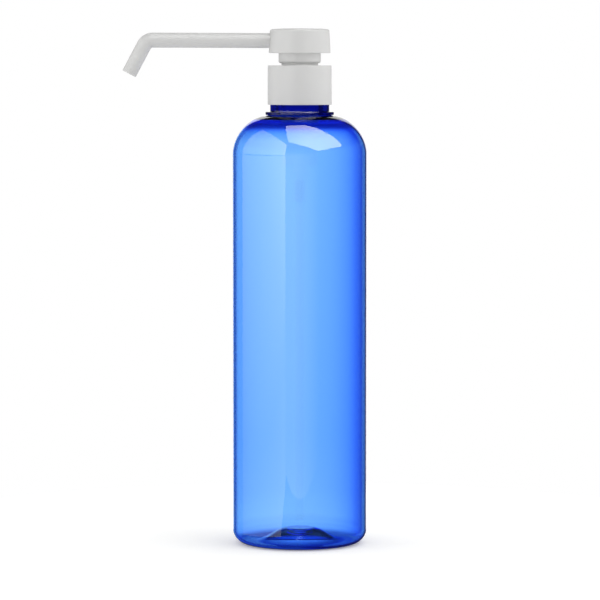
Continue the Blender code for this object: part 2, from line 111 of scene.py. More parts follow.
def fillet(corners, points=9, closed=True):
    """A half-section with its corners rounded.

    Each row is radius, height and corner radius. Every corner becomes an arc that touches both
    neighbouring sides, found from the half angle between them, for all corners at once. Each side
    gets a point close to either end, a quarter of its length or 0.3 mm in, so that it shades flat.
    """
    corners = np.asarray(corners, float)
    place, size = corners[:, :2], corners[:, 2]
    to_last = np.roll(place, 1, 0) - place
    to_next = np.roll(place, -1, 0) - place
    to_last /= np.linalg.norm(to_last, axis=1, keepdims=True)
    to_next /= np.linalg.norm(to_next, axis=1, keepdims=True)
    half = np.arccos(np.clip((to_last * to_next).sum(1), -1, 1)) / 2
    half = np.clip(half, 1e-3, np.pi / 2 - 1e-3)
    between = to_last + to_next
    between /= np.maximum(np.linalg.norm(between, axis=1, keepdims=True), 1e-9)
    center = place + between * (size / np.sin(half))[:, None]
    first = place + to_last * (size / np.tan(half))[:, None] - center
    last = place + to_next * (size / np.tan(half))[:, None] - center
    sweep = np.pi - 2 * half
    t = np.linspace(0, 1, points)[None, :]
    weight = np.sin((1 - t) * sweep[:, None]) / np.sin(sweep)[:, None]
    other = np.sin(t * sweep[:, None]) / np.sin(sweep)[:, None]
    arcs = center[:, None] + weight[..., None] * first[:, None] + other[..., None] * last[:, None]
    start, end = arcs[:, -1], np.roll(arcs[:, 0], -1, 0)
    length = np.maximum(np.linalg.norm(end - start, axis=1, keepdims=True), 1e-9)
    hold = (end - start) / length * np.minimum(0.3, length / 4)
    section = np.concatenate([arcs, (start + hold)[:, None], (end - hold)[:, None]], 1).reshape(-1, 2)
    return tidy(section if closed else section[:-2])


def tidy(section):
    """The section without points that repeat the one before them."""
    step = np.linalg.norm(section - np.roll(section, 1, 0), axis=1)
    return section[step > 1e-5]


def between(start, end, spacing):
    """Points from start to end at about an even spacing, without the end."""
    start, end = np.asarray(start, float), np.asarray(end, float)
    count = max(1, int(np.ceil(np.linalg.norm(end - start) / spacing)))
    share = np.arange(count)[:, None] / count
    return start + (end - start) * share


def closed_mesh(name, rows, loop):
    """A smooth closed mesh from rows of points that each go once round.

    Rows are joined by quads. A loop joins its last row to its first; otherwise the first and last
    rows lie on the axis and each becomes one point with a fan. Faces are turned outwards by the
    sign of the volume they enclose.
    """
    count, around = rows.shape[:2]
    index = np.arange(count * around).reshape(count, around)
    points = rows.reshape(-1, 3)
    if loop:
        first, following = index, np.roll(index, -1, 0)
        fans = np.empty((0, 3), int)
    else:
        inner = index[1:-1] - around + 1
        points = np.vstack([rows[0, :1], rows[1:-1].reshape(-1, 3), rows[-1, :1]])
        first, following = inner[:-1], inner[1:]
        low, high = inner[0], inner[-1]
        start = np.stack([np.zeros_like(low), np.roll(low, -1), low], 1)
        end = np.stack([np.full_like(high, len(points) - 1), high, np.roll(high, -1)], 1)
        fans = np.vstack([start, end])
    quads = np.stack(
        [first, np.roll(first, -1, 1), np.roll(following, -1, 1), following], -1
    ).reshape(-1, 4)
    triangles = np.vstack([quads[:, [0, 1, 2]], quads[:, [0, 2, 3]], fans])
    a, b, c = (points[triangles[:, k]] for k in range(3))
    if (a * np.cross(b, c)).sum() < 0:
        quads, fans = quads[:, ::-1], fans[:, ::-1]
    mesh = bpy.data.meshes.new(name)
    mesh.from_pydata((points * MM).tolist(), [], quads.tolist() + fans.tolist())
    mesh.shade_smooth()
    mesh.set_sharp_from_angle(angle=SHARP)
    return mesh


def turned(name, section, loop=True, around=ROUND, ridge=None):
    """A half-section of radius and height, turned about the axis.

    A ridge adds to the radius by angle and height, as the screw threads do.
    """
    angle = 2 * np.pi * np.arange(around) / around
    radius = section[:, 0][:, None] + np.zeros((1, around))
    height = section[:, 1][:, None] + np.zeros((1, around))
    if ridge is not None:
        radius = radius + ridge(angle[None, :], height, radius)
    rows = np.stack([radius * np.cos(angle), radius * np.sin(angle), height], -1)
    return closed_mesh(name, rows, loop)


def swept(name, path, normals, section, around=SMALL_ROUND):
    """A round bar or tube along a path in the plane of X and Z.

    The section gives, row by row, which point of the path it is centred on and its radius. Each
    row is a circle across the path, spanned by the path's normal and the Y axis.
    """
    angle = 2 * np.pi * np.arange(around) / around
    which, radius = section[:, 0].astype(int), section[:, 1][:, None, None]
    across = normals[which][:, None] * np.cos(angle)[None, :, None]
    across = across + np.array([0, 1, 0.0]) * np.sin(angle)[None, :, None]
    return closed_mesh(name, path[which][:, None] + across * radius, True)


def thread(depth, base, crest, turns, start, lowest, highest):
    """The height of a helical ridge by angle and height.

    Across the ridge it's a rounded trapezoid of the base and crest widths; along it, both ends
    fade over a twelfth of a turn. It acts only between two radii, so other walls stay plain.
    """

    def ridge(angle, height, radius):
        best = np.zeros(np.broadcast(angle, height).shape)
        for turn in range(int(np.ceil(turns))):
            along = angle + 2 * np.pi * turn
            off = np.abs(height - start - PITCH * along / (2 * np.pi))
            side = np.clip((base / 2 - off) / (base / 2 - crest / 2), 0, 1)
            left = np.minimum(along, 2 * np.pi * turns - along) / (np.pi / 6)
            best = np.maximum(best, side * side * (3 - 2 * side) * np.clip(left, 0, 1))
        inside = (radius > lowest) & (radius < highest)
        return depth * best * inside

    return ridge


# Pump pieces that the clear wall's rays pass by, so that none of them darkens the bottle
UNSEEN_THROUGH_WALL = ("stem", "piston_rod", "piston", "spring", "ball_cage", "inlet_ball")


def add(mesh, body, node, slot, finish):
    """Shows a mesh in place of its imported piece, on the same body. Only the bottle shows in gloss."""
    obj = bpy.data.objects.new(mesh.name, mesh)
    bpy.context.scene.collection.objects.link(obj)
    mesh.materials.append(finish)
    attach(obj, body)
    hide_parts(node)
    obj.visible_glossy = slot == "clear_blue_pet"
    obj.visible_transmission = node not in UNSEEN_THROUGH_WALL
    return obj


# Bottle


def shoulder(wall, top_wall, points):
    """The quarter ellipse from the straight body up to just under the support ring.

    It lies inside the outer face by a wall that thickens smoothly over the upper fifth. It swells
    by up to half a millimetre, as the cube of the share of the way times what is left of it.
    """
    share = np.linspace(0, 1, points)
    swell = 5.0 * share**3 * (1 - share)
    thick = np.clip((share - 0.8) / 0.2, 0, 1)
    inset = wall + (top_wall - wall) * thick**2 * (3 - 2 * thick) - swell
    angle = np.arcsin(SHOULDER_REACH / SHOULDER_UP) * share
    radius = BODY_RADIUS - SHOULDER_ACROSS + (SHOULDER_ACROSS - inset) * np.cos(angle)
    return np.stack([radius, SHOULDER_Z + (SHOULDER_UP - inset) * np.sin(angle)], 1)


def foot(floor, middle, outer, heel, points):
    """Dome, foot ring and heel, from the axis out to the straight wall.

    The dome is half a cosine wave from the foot ring up to a flat disc, and the heel is a quarter
    circle.
    """
    share = np.linspace(0, 1, points)
    radius = DOME_FOOT + (DISC - DOME_FOOT) * share
    dome = np.stack([radius, floor + (middle - floor) * (1 - np.cos(np.pi * share)) / 2], 1)[::-1]
    disc = np.stack([np.linspace(0, DISC, 24)[:-1], np.full(23, middle)], 1)
    angle = np.linspace(-np.pi / 2, 0, 24)
    round_heel = np.stack([outer - heel + heel * np.cos(angle), floor + heel + heel * np.sin(angle)], 1)
    return np.vstack([disc, dome, round_heel])


def bottle_section():
    """Outer face from the axis up to the neck's top, then the inner face back down to the axis.

    A bell curve of the radius lowers a fine ring round the disc under the base.
    """
    outside = foot(FOOT_Z, 0.0, BODY_RADIUS, HEEL, 40)
    outside[:, 1] -= 0.16 * np.exp(-(((outside[:, 0] - DISC - 0.4) / 0.3) ** 2))
    neck = fillet(
        [
            (14.0, RING_Z - WALL, 0),
            (14.0, RING_Z, 0.35),
            (RING_RADIUS, RING_Z, 0.35),
            (RING_RADIUS, RING_TOP_Z, 0.35),
            (ROOT_RADIUS, RING_TOP_Z, 0.25),
            (ROOT_RADIUS, RING_TOP_Z + 4.875, 0.4),
            (NECK_RADIUS, RING_TOP_Z + 6.0, 0.4),
            (NECK_RADIUS, FINISH_Z, 0.3),
            (BORE, FINISH_Z, 0.3),
            (BORE, RING_Z, 0),
        ],
        closed=False,
    )
    top = shoulder(0, 0, 60)
    neck = neck[np.argmax(neck[:, 1] >= RING_Z - 1e-6) :]
    root = np.argmax(neck[:, 0] < NECK_RADIUS + 0.01)
    finish = root + np.argmax(neck[root:, 1] > FINISH_Z - 0.31)
    wall = between(neck[root], neck[finish], 0.14)
    bore = between(neck[-1], (BORE, RING_Z - 0.4), 2.0)
    under = shoulder(WALL, 2.1, 60)[::-1]
    inside = foot(FOOT_Z + WALL, DISC_INNER_Z, BODY_RADIUS - WALL, HEEL - WALL, 40)[::-1]
    return np.vstack([outside, top, neck[:root], wall, neck[finish:], bore[1:], under, inside])


# Finishes


def linear(code):
    """A colour written as six hex digits, in linear light."""
    value = np.array([int(code[i : i + 2], 16) for i in (0, 2, 4)]) / 255
    value = np.where(value <= 0.04045, value / 12.92, ((value + 0.055) / 1.055) ** 2.4)
    return (*value.tolist(), 1.0)


def node(tree, kind, **values):
    """Adds a node and sets its sockets by name."""
    made = tree.nodes.new(kind)
    for name, value in values.items():
        made.inputs[name.replace("_", " ")].default_value = value
    return made


def ramp(tree, value, stops):
    """A colour that follows a value through the given places and colours."""
    made = tree.nodes.new("ShaderNodeValToRGB")
    for _ in range(len(stops) - 2):
        made.color_ramp.elements.new(0.5)
    for element, (place, color) in zip(made.color_ramp.elements, stops):
        element.position = place
        element.color = (*color, 1)
    tree.links.new(value, made.inputs[0])
    return made.outputs[0]


def stretched(tree, value, low, high, first=0.0, last=1.0):
    """A value held between two limits and stretched to run from first to last."""
    made = node(tree, "ShaderNodeMapRange", From_Min=low, From_Max=high, To_Min=first, To_Max=last)
    tree.links.new(value, made.inputs["Value"])
    return made.outputs["Result"]


def times(tree, first, second):
    """The product of two colours."""
    made = node(tree, "ShaderNodeVectorMath")
    made.operation = "MULTIPLY"
    tree.links.new(first, made.inputs[0])
    tree.links.new(second, made.inputs[1])
    return made.outputs["Vector"]


def mixed(tree, share, first, second):
    """A colour that runs from the first to the second, each a socket or a colour."""
    made = node(tree, "ShaderNodeMix")
    made.data_type = "RGBA"
    tree.links.new(share, made.inputs[0])
    for socket, color in ((made.inputs[6], first), (made.inputs[7], second)):
        if isinstance(color, tuple):
            socket.default_value = color
        else:
            tree.links.new(color, socket)
    return made.outputs[2]


def height_of(tree, place):
    """The height in a place's coordinates."""
    made = node(tree, "ShaderNodeSeparateXYZ")
    tree.links.new(place, made.inputs[0])
    return made.outputs["Z"]


def bumped(tree, shader, place, texture, strength, distance):
    """Roughens a shader's normal by a texture."""
    bump = node(tree, "ShaderNodeBump", Strength=strength, Distance=distance)
    tree.links.new(place, texture.inputs["Vector"])
    tree.links.new(texture.outputs[0], bump.inputs["Height"])
    tree.links.new(bump.outputs["Normal"], shader.inputs["Normal"])


def put(shader, name, value):
    """Sets one socket of a shader."""
    shader.inputs[name].default_value = value


def material(name):
    """A new material with its node tree and main shader."""
    made = bpy.data.materials.new(name)
    made.use_nodes = True
    return made, made.node_tree, made.node_tree.nodes["Principled BSDF"]


def painted_shade_by_height(tree, place):
    """Painted shade in the wall's tint by height: paler in the body, deep in the foot, the shoulder's top
    and the neck, where the floor, collar and pump shade the wall.
    """
    share = stretched(tree, height_of(tree, place), -0.005, 0.215)
    return ramp(
        tree,
        share,
        [
            (0.0, (0.1, 0.16, 0.32)), (0.005, (0.11, 0.17, 0.36)), (0.0095, (0.35, 0.46, 0.82)),
            (0.014, (0.75, 0.84, 1)), (0.033, (0.9, 0.93, 1)), (0.043, (1, 1, 1)), (0.07, (1, 1, 1)),
            (0.1, (0.93, 0.95, 1)), (0.22, (0.88, 0.93, 1)), (0.5, (0.94, 0.96, 1)), (0.851, (1, 1, 1)),
            (0.866, (0.78, 0.88, 1)), (0.872, (0.6, 0.72, 1)), (0.8755, (0.45, 0.53, 0.95)),
            (0.88, (0.14, 0.21, 0.62)), (0.8874, (0.09, 0.14, 0.58)), (0.892, (0.2, 0.25, 1)),
            (0.9055, (0.15, 0.2, 0.35)), (0.9125, (0.13, 0.25, 1)),
        ],
    )


def edge_tint_and_painted_shade(tree, place):
    """The tint where the wall turns away, partly the longer path through the dye and partly painted shade:
    a little in the body, much in the neck's heavier wall, which it paints nearly black.
    """
    away = node(tree, "ShaderNodeLayerWeight", Blend=0.5).outputs["Facing"]
    body = ramp(
        tree,
        away,
        [
            (0.0, (1, 1, 1)), (0.74, (1, 1, 1)), (0.79, (0.8, 0.84, 0.92)), (0.85, (0.68, 0.74, 0.88)),
            (1.0, (0.35, 0.42, 0.65)),
        ],
    )
    neck = ramp(
        tree,
        away,
        [(0.0, (1, 1, 1)), (0.12, (0.9, 0.9, 0.95)), (0.35, (0.2, 0.15, 0.1)), (1.0, (0.1, 0.1, 0.05))],
    )
    up_neck = stretched(tree, height_of(tree, place), 0.1925, 0.1942)
    return mixed(tree, up_neck, body, neck)


def painted_base_shade(tree, place):
    """Painted shade in the base's tint by radius: deepest in the dome's lower slope, none above the heel.
    """
    flat = node(tree, "ShaderNodeVectorMath")
    flat.operation = "MULTIPLY"
    flat.inputs[1].default_value = (1, 1, 0)
    radius = node(tree, "ShaderNodeVectorMath")
    radius.operation = "LENGTH"
    tree.links.new(place, flat.inputs[0])
    tree.links.new(flat.outputs["Vector"], radius.inputs[0])
    share = stretched(tree, radius.outputs["Value"], 0.0, BODY_RADIUS * MM)
    plate = ramp(
        tree,
        share,
        [
            (0.0, (1, 1, 1)), (0.46, (1, 1, 1)), (0.54, (0.85, 0.9, 1)), (0.62, (0.6, 0.7, 0.97)),
            (0.68, (0.45, 0.55, 0.95)), (0.78, (0.9, 0.94, 1)), (1.0, (1, 1, 1)),
        ],
    )
    over_heel = stretched(tree, height_of(tree, place), 0.004, 0.006)
    return mixed(tree, over_heel, plate, (1, 1, 1, 1))


def pet():
    """Clear cobalt-blue PET, as the photo's body: polished, deeper blue where the wall is long, with
    painted shade in the foot, the base, the shoulder's top, the neck and at the rim.
    """
    made, tree, shader = material("clear_blue_pet")
    put(shader, "Roughness", 0.0)
    put(shader, "IOR", 1.57)
    put(shader, "Transmission Weight", 1.0)
    place = node(tree, "ShaderNodeTexCoord").outputs["Object"]
    # The tint paints shade into the wall's colour: by height, at the turned-away rim and across the base.
    tint = times(tree, painted_shade_by_height(tree, place), edge_tint_and_painted_shade(tree, place))
    tree.links.new(times(tree, tint, painted_base_shade(tree, place)), shader.inputs["Base Color"])
    bumped(tree, shader, place, node(tree, "ShaderNodeTexNoise", Scale=45.0, Detail=1.0), 0.03, 0.0005)
    dye = node(tree, "ShaderNodeVolumeAbsorption", Color=(0.004, 0.541, 0.988, 1), Density=905.0)
    tree.links.new(dye.outputs["Volume"], tree.nodes["Material Output"].inputs["Volume"])
    return made


def moulded(name, pale, deep, roughness, grain, depth):
    """Moulded plastic: two close tones drift over it and a fine grain dulls its gloss."""
    made, tree, shader = material(name)
    put(shader, "Roughness", roughness)
    put(shader, "IOR", 1.49)
    place = node(tree, "ShaderNodeTexCoord").outputs["Object"]
    drift = node(tree, "ShaderNodeTexNoise", Scale=120.0, Detail=3.0)
    tree.links.new(place, drift.inputs["Vector"])
    tree.links.new(mixed(tree, drift.outputs[0], linear(pale), linear(deep)), shader.inputs["Base Color"])
    bumped(tree, shader, place, node(tree, "ShaderNodeTexNoise", Scale=grain, Detail=2.0), depth, 0.00005)
    return made, tree, shader


def milky(name, pale, deep, roughness, low, high):
    """Uncoloured plastic that is nearly clear low in the bottle and milky up in the neck."""
    made, tree, shader = moulded(name, pale, deep, roughness, 2000.0, 0.05)
    place = node(tree, "ShaderNodeTexCoord").outputs["Object"]
    cover = stretched(tree, height_of(tree, place), 0.190, 0.1955, low, high)
    tree.links.new(cover, shader.inputs["Alpha"])
    return made


def off_white_pp():
    """Off-white polypropylene of the pump's outside: a soft fine matt with a faint glow in its edges."""
    made, _, shader = moulded("off_white_pp", "CDCDCC", "C9C9C8", 0.42, 3200.0, 0.06)
    put(shader, "Specular IOR Level", 0.3)
    put(shader, "Subsurface Weight", 0.2)
    put(shader, "Subsurface Radius", (1.0, 0.95, 0.9))
    put(shader, "Subsurface Scale", 0.0012)
    return made


def painted_light_off_white_pp():
    """The locking ring's polypropylene: a shade paler than the cap, painted light that lifts the shade
    under the head so it reads off-white.
    """
    made, _, shader = moulded("painted_light_off_white_pp", "DCDCDB", "D8D8D7", 0.42, 3200.0, 0.06)
    put(shader, "Specular IOR Level", 0.3)
    return made


blue_pet = pet()
off_white = off_white_pp()
painted_light_white = painted_light_off_white_pp()

# Uncoloured polypropylene inside: nearly clear, so the blue wall in front of it stays even
natural = milky("natural_pp", "F2F4F5", "EDF0F2", 0.45, 0.015, 1.0)

# Dip tube: thin extruded polyethylene, nearly clear like the housing
tube_pe = milky("dip_tube_pe", "F3F5F6", "EEF1F3", 0.40, 0.015, 0.015)

# Gasket and piston: soft white polyethylene, seen as a faint shape through the housing
soft_pe = milky("soft_pe", "EDEDEA", "E6E6E2", 0.5, 0.03, 1.0)

# Spring: drawn stainless wire, so fine that it only greys what lies behind it
wire = milky("spring_steel", "CFCFCC", "BEBEBB", 0.25, 0.05, 0.05)
put(wire.node_tree.nodes["Principled BSDF"], "Metallic", 1.0)

# Ball: polished clear glass with a slight green, faint behind the housing
ball_glass = milky("ball_glass", "EAF4EE", "E4F0E9", 0.05, 0.04, 0.04)


# Bottle, cap and what seals them

bottle_ridge = thread(THREAD_DEPTH, 2.3, 1.2, 1.5, THREAD_Z, NECK_RADIUS - 0.05, NECK_RADIUS + 0.05)
add(
    turned("bottle_wall", bottle_section(), loop=False, ridge=bottle_ridge),
    "bottle", "bottle", "clear_blue_pet", blue_pet,
)


def collar_section():
    """The cap's half-section, its bore with points close enough together for the thread."""
    section = fillet(
        [
            (8.7, COLLAR_TOP_Z, 0.1),
            (14.72, COLLAR_TOP_Z, 0.5),
            (14.8, COLLAR_FOOT_Z, 0.2),
            (SKIRT_BORE, COLLAR_FOOT_Z, 0.2),
            (SKIRT_BORE, SEAT_Z, 0.2),
            (8.7, SEAT_Z, 0.1),
        ]
    )
    skirt = np.argmax(section[:, 0] < SKIRT_BORE + 0.005)
    bore = between(section[skirt], (SKIRT_BORE, 212.0), 0.14)
    return np.vstack([section[: skirt + 1], bore, section[skirt + 1 :]])


collar_ridge = thread(
    -THREAD_DEPTH, 1.9, 0.9, 1.25, THREAD_Z - 1.825, SKIRT_BORE - 0.005, SKIRT_BORE + 0.005
)
add(
    turned("screw_collar", collar_section(), ridge=collar_ridge),
    "collar", "collar", "off_white_pp", off_white,
)

washer = [
    (8.9, GASKET_Z + 0.9, 0.1),
    (NECK_RADIUS, GASKET_Z + 0.9, 0.1),
    (NECK_RADIUS, GASKET_Z, 0.1),
    (8.9, GASKET_Z, 0.1),
]
add(turned("sealing_washer", fillet(washer)), "pump", "neck_gasket", "soft_pe", soft_pe)


# Pump's fixed pieces

barrel = [
    (HOUSING_BORE, FLANGE_Z + 1.0, 0.1),
    (NECK_RADIUS, FLANGE_Z + 1.0, 0.15),
    (NECK_RADIUS, FLANGE_Z, 0.15),
    (HOUSING_RADIUS, FLANGE_Z, 0.2),
    (HOUSING_RADIUS, HOUSING_FLOOR_Z, 0.4),
    (7.4, 169.8, 0.3),
    (4.38, 169.8, 0.3),
    (4.38, 164.75, 0.3),
    (3.55, SOCKET_TOP_Z, 0.3),
    (3.55, SOCKET_TOP_Z - 10, 0.2),
    (2.45, SOCKET_TOP_Z - 10, 0.1),
    (2.45, SOCKET_TOP_Z, 0.1),
    (1.5, SOCKET_TOP_Z, 0.1),
    (1.5, SOCKET_TOP_Z + 1.5, 0.1),
    (2.88, SOCKET_TOP_Z + 2.88, 0.1),
    (2.88, HOUSING_FLOOR_Z, 0.1),
    (HOUSING_BORE, HOUSING_FLOOR_Z, 0.2),
]
add(
    turned("housing_barrel", fillet(barrel), around=SMALL_ROUND),
    "pump", "pump_housing", "natural_pp", natural,
)

guide_foot, guide_top, guide_bore = 207.0, 208.8, 4.3
lock = [
    (LOCK_BORE, LOCK_TOP_Z, 0.2),
    (9.65, LOCK_TOP_Z, 0.3),
    (9.8, LOCK_RING_Z + 0.7, 0.35),
    (9.1, LOCK_RING_Z, 0.2),
    (8.4, LOCK_RING_Z, 0.15),
    (8.4, SEAT_Z, 0.1),
    (7.3, SEAT_Z, 0.1),
    (7.3, guide_foot, 0.2),
    (guide_bore, guide_foot, 0.1),
    (guide_bore, guide_top, 0.1),
    (LOCK_BORE, guide_top, 0.2),
]
# The locking ring gets the paler copy of the cap's white: painted light against the head's shade.
add(turned("locking_ring", fillet(lock)), "pump", "lock_ring", "off_white_pp", painted_light_white)

# Head and spout


def head_section():
    """The head's half-section: a pressing face that falls away to a rounded rim, then the hollow."""
    rim_radius, fall = 1.1, 0.3
    crown_end = HEAD_ROUND - rim_radius
    rim_z = HEAD_TOP_Z - fall - rim_radius
    radius = np.linspace(CROWN_FLAT, crown_end, 24)
    away = (radius - CROWN_FLAT) / (crown_end - CROWN_FLAT)
    crown = np.stack([radius, HEAD_TOP_Z - fall * away**2], 1)
    angle = np.linspace(np.pi / 2, 0.04, 16)[1:]
    rim = np.stack([crown_end + rim_radius * np.cos(angle), rim_z + rim_radius * np.sin(angle)], 1)
    top = np.stack([np.linspace(0, CROWN_FLAT, 8)[:-1], np.full(7, HEAD_TOP_Z)], 1)
    roof_z, sleeve_foot, sleeve_radius, stem_stop = 231.0, 209.3, 5.7, 225.5
    below = fillet(
        [
            (HEAD_ROUND, rim_z, 0),
            (14.25, HEAD_Z, 0.25),
            (12.75, HEAD_Z, 0.25),
            (12.25, roof_z, 0.4),
            (sleeve_radius, roof_z, 0.3),
            (sleeve_radius, sleeve_foot, 0.15),
            (4.3, sleeve_foot, 0.15),
            (4.3, stem_stop, 0.1),
            (2.3, stem_stop, 0.1),
            (2.3, 230.35, 0.1),
            (0.0, 230.35, 0),
        ],
        closed=False,
    )
    return np.vstack([top, crown, rim, below[1:]])


def spout_line():
    """The spout's centre line and its normals: out along -X, round a bend, down the tip."""
    corner = np.array([-70.5, 0, SPOUT_Z + 0.3])
    start = np.array([0, 0, SPOUT_Z])
    out = (corner - start) / np.linalg.norm(corner - start)
    droop = np.radians(62)
    down = np.array([-np.cos(droop), 0, -np.sin(droop)])
    turn = np.arccos(out @ down)
    tangent = BEND_RADIUS * np.tan(turn / 2)
    inward = np.array([-out[2], 0, out[0]])
    middle = corner - out * tangent + inward * BEND_RADIUS
    angle = np.linspace(0, turn, 33)[:, None]
    bend = middle - inward * BEND_RADIUS * np.cos(angle) + out * BEND_RADIUS * np.sin(angle)
    straight = between(start + out * 4.0, bend[0], 3.0)
    tip = bend[-1] + down * np.append(np.arange(1.0, 14.3, 1.6), 17.5 - tangent)[:, None]
    path = np.vstack([straight, bend, tip])
    along = np.gradient(path, axis=0)
    along /= np.linalg.norm(along, axis=1, keepdims=True)
    along[: len(straight)] = out
    along[-len(tip) :] = down
    return path, np.stack([-along[:, 2], 0 * along[:, 0], along[:, 0]], 1), down


def spout_mesh():
    """The spout as a bored tube whose tip has a small rounded lip."""
    path, normals, down = spout_line()
    last = len(path) - 1
    lip = np.linspace(0, np.pi / 2, 7)
    path = np.vstack([path[:-1], path[-1] - down * (0.35 - 0.35 * np.sin(lip))[:, None]])
    normals = np.vstack([normals[:-1], np.repeat(normals[-1:], 7, 0)])
    outer = np.stack([np.arange(last), np.full(last, SPOUT_RADIUS)], 1)
    outer_lip = np.stack([last + np.arange(7), SPOUT_RADIUS - 0.35 * (1 - np.cos(lip))], 1)
    inner_lip = np.stack([last + np.arange(7), SPOUT_BORE + 0.25 * (1 - np.cos(lip))], 1)[::-1]
    inner = np.stack([np.arange(last), np.full(last, SPOUT_BORE)], 1)[::-1]
    return swept("spout_shape", path, normals, np.vstack([outer, outer_lip, inner_lip, inner]))


def joined(name, first, second):
    """Two closed shells of one moulding in one mesh."""
    meshes = [first, second]
    points, faces, offset = [], [], 0
    for mesh in meshes:
        co = np.empty(len(mesh.vertices) * 3, np.float32)
        mesh.vertices.foreach_get("co", co)
        corner = np.empty(len(mesh.loops), np.int32)
        mesh.loops.foreach_get("vertex_index", corner)
        size = np.empty(len(mesh.polygons), np.int32)
        mesh.polygons.foreach_get("loop_total", size)
        points.append(co.reshape(-1, 3))
        faces += [part.tolist() for part in np.split(corner + offset, np.cumsum(size)[:-1])]
        offset += len(mesh.vertices)
    made = bpy.data.meshes.new(name)
    made.from_pydata(np.vstack(points).tolist(), [], faces)
    made.shade_smooth()
    made.set_sharp_from_angle(angle=SHARP)
    for mesh in meshes:
        bpy.data.meshes.remove(mesh)
    return made


add(
    joined("head_and_spout", turned("head_shape", head_section(), loop=False), spout_mesh()),
    "head", "actuator", "off_white_pp", off_white,
)

# Pieces that move with the head

stem = [
    (STEM_BORE, 225.2, 0.1),
    (STEM_RADIUS, 225.2, 0.2),
    (STEM_RADIUS, SEAL_TOP_Z + 0.3, 0.2),
    (STEM_BORE, SEAL_TOP_Z + 0.3, 0.1),
]
add(turned("stem_tube", fillet(stem), around=SMALL_ROUND), "head", "stem", "natural_pp", natural)

rod_bore, rod_radius, rod_top, rod_floor = 1.3, 2.3, 205.0, 183.4
outside = fillet(
    [
        (rod_bore, rod_top, 0.1),
        (rod_radius, rod_top, 0.2),
        (rod_radius, ROD_FLANGE_Z + 1.2, 0.2),
        (5.2, ROD_FLANGE_Z + 1.2, 0.2),
        (5.2, ROD_FLANGE_Z, 0.2),
        (3.0, ROD_FLANGE_Z, 0.2),
        (3.0, ROD_FLANGE_Z - 2.5, 0.3),
        (0.0, ROD_FLANGE_Z - 2.5, 0),
    ],
    closed=False,
)
inside = fillet([(0.5, rod_floor, 0), (rod_bore, rod_floor, 0.1), (rod_bore, rod_top - 1, 0)], closed=False)
rod = np.vstack([[(0, rod_floor)], inside[1:-1], outside])
add(
    turned("hollow_rod", rod, loop=False, around=SMALL_ROUND),
    "head", "piston_rod", "natural_pp", natural,
)

seal = [
    (STEM_BORE, SEAL_TOP_Z, 0.1),
    (4.4, SEAL_TOP_Z, 0.2),
    (4.4, SEAL_TOP_Z - 2.2, 0.3),
    (6.6, SEAL_TOP_Z - 2.2, 0.3),
    (6.6, SEAL_TOP_Z, 0.1),
    (7.3, SEAL_TOP_Z, 0.2),
    (6.7, SEAL_TOP_Z - 2.2, 0.5),
    (6.7, SEAL_FOOT_Z + 2.2, 0.5),
    (7.3, SEAL_FOOT_Z, 0.2),
    (6.6, SEAL_FOOT_Z, 0.1),
    (6.6, SEAL_FOOT_Z + 2.2, 0.3),
    (4.4, SEAL_FOOT_Z + 2.2, 0.3),
    (4.4, SEAL_FOOT_Z, 0.2),
    (STEM_BORE, SEAL_FOOT_Z, 0.1),
]
add(turned("lipped_seal", fillet(seal), around=SMALL_ROUND), "piston", "piston", "soft_pe", soft_pe)


# Dip tube, spring, cage and ball

tube_bore, tube_radius, tube_top, tube_foot = 1.45, 2.15, SOCKET_TOP_Z - 0.3, 5.2
suction = [
    (tube_bore, tube_top, 0.1),
    (tube_radius, tube_top, 0.2),
    (tube_radius, tube_foot, 0.1),
    (tube_bore, tube_foot, 0.1),
]
add(
    turned("suction_tube", fillet(suction), around=TUBE_ROUND),
    "pump", "dip_tube", "dip_tube_pe", tube_pe,
)


def coil_mesh():
    """A helix of round wire, with rings across it spanned by its two normals, closed at both ends."""
    turns, radius, wire_radius, low, rise = 7, 4.2, 0.45, 173.65, 8.1
    angle = 2 * np.pi * np.arange(turns * 36 + 1) / 36
    height = low + rise * angle / angle[-1]
    middle = np.stack([radius * np.cos(angle), radius * np.sin(angle), height], 1)
    out = np.stack([np.cos(angle), np.sin(angle), 0 * angle], 1)
    along = np.gradient(middle, axis=0)
    along /= np.linalg.norm(along, axis=1, keepdims=True)
    up = np.cross(along, out)
    turn = 2 * np.pi * np.arange(16) / 16
    ring = out[:, None] * np.cos(turn)[None, :, None] + up[:, None] * np.sin(turn)[None, :, None]
    first, last = middle[:1, None] + 0 * ring[:1], middle[-1:, None] + 0 * ring[:1]
    return closed_mesh("coil", np.concatenate([first, middle[:, None] + wire_radius * ring, last]), False)


add(coil_mesh(), "pump", "spring", "spring_steel", wire)


def star(angle, height, radius):
    """How far the cage's hole reaches past its round middle, for three slots of even width."""
    off = np.mod(angle + np.pi / 3, 2 * np.pi / 3) - np.pi / 3
    half_slot, slot_end = 0.5, 2.88
    reach = np.clip(half_slot / np.maximum(np.abs(np.sin(off)), 1e-6), CAGE_HOLE, slot_end) - CAGE_HOLE
    return reach * (radius < CAGE_HOLE + 0.3)


cage_foot, cage_top, cage_radius = HOUSING_FLOOR_Z + 0.3, HOUSING_FLOOR_Z + 1.9, 7.3
cage = [
    (CAGE_HOLE, cage_top, 0),
    (cage_radius, cage_top, 0.2),
    (cage_radius, cage_foot, 0.2),
    (CAGE_HOLE, cage_foot, 0),
]
add(turned("slotted_disc", fillet(cage), ridge=star), "pump", "ball_cage", "natural_pp", natural)

angle = np.linspace(np.pi / 2, -np.pi / 2, 33)
ball_z = 167.62
sphere = np.stack([BALL_RADIUS * np.cos(angle), ball_z + BALL_RADIUS * np.sin(angle)], 1)
add(
    turned("valve_ball", sphere, loop=False, around=TUBE_ROUND),
    "ball", "inlet_ball", "ball_glass", ball_glass,
)


# Floor, panels, backdrop, lamp and camera


